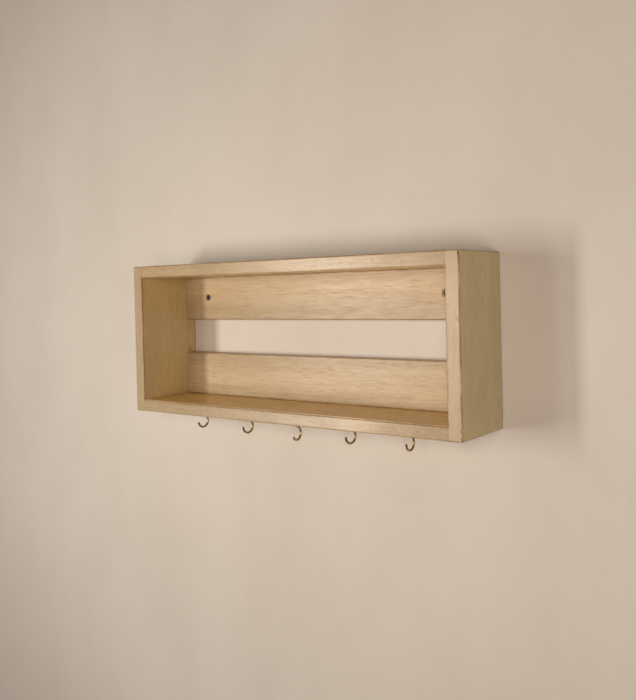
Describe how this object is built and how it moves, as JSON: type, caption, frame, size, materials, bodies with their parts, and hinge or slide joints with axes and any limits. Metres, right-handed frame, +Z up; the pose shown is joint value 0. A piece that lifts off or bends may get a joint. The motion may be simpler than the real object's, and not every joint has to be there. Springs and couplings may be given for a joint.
{
  "type": "wall key holder",
  "caption": "Open wooden box shelf for a wall, with two back slats, countersunk wall screw holes and a row of open wire key hooks under its bottom board.",
  "frame": {"origin": "on the wall plane, midway between the two wall screw holes in the upper back slat", "axes": "+X to the right along the box, +Y into the wall (the box opens towards -Y), +Z up"},
  "size_m": [0.38, 0.077, 0.1725],
  "materials": {
    "box_wood": "pale whitewashed softwood, fine straight grain, soft satin sheen",
    "slat_wood": "the same pale wood, grain along the slat",
    "filler": "wood filler, sanded flush and finished with the boards",
    "hook_brass": "dull golden brass plate on wire",
    "nail_steel": "bright steel, hidden in the wood"
  },
  "bodies": {
    "root": {"left_side": "box_wood", "right_side": "box_wood", "top_board": "box_wood", "bottom_board": "box_wood", "upper_back_slat": "slat_wood", "lower_back_slat": "slat_wood", "hook_1": "hook_brass", "hook_2": "hook_brass", "hook_3": "hook_brass", "hook_4": "hook_brass", "hook_5": "hook_brass", "left_nails": "nail_steel", "right_nails": "nail_steel", "left_fillers": "filler", "right_fillers": "filler"}
  },
  "joints": []
}
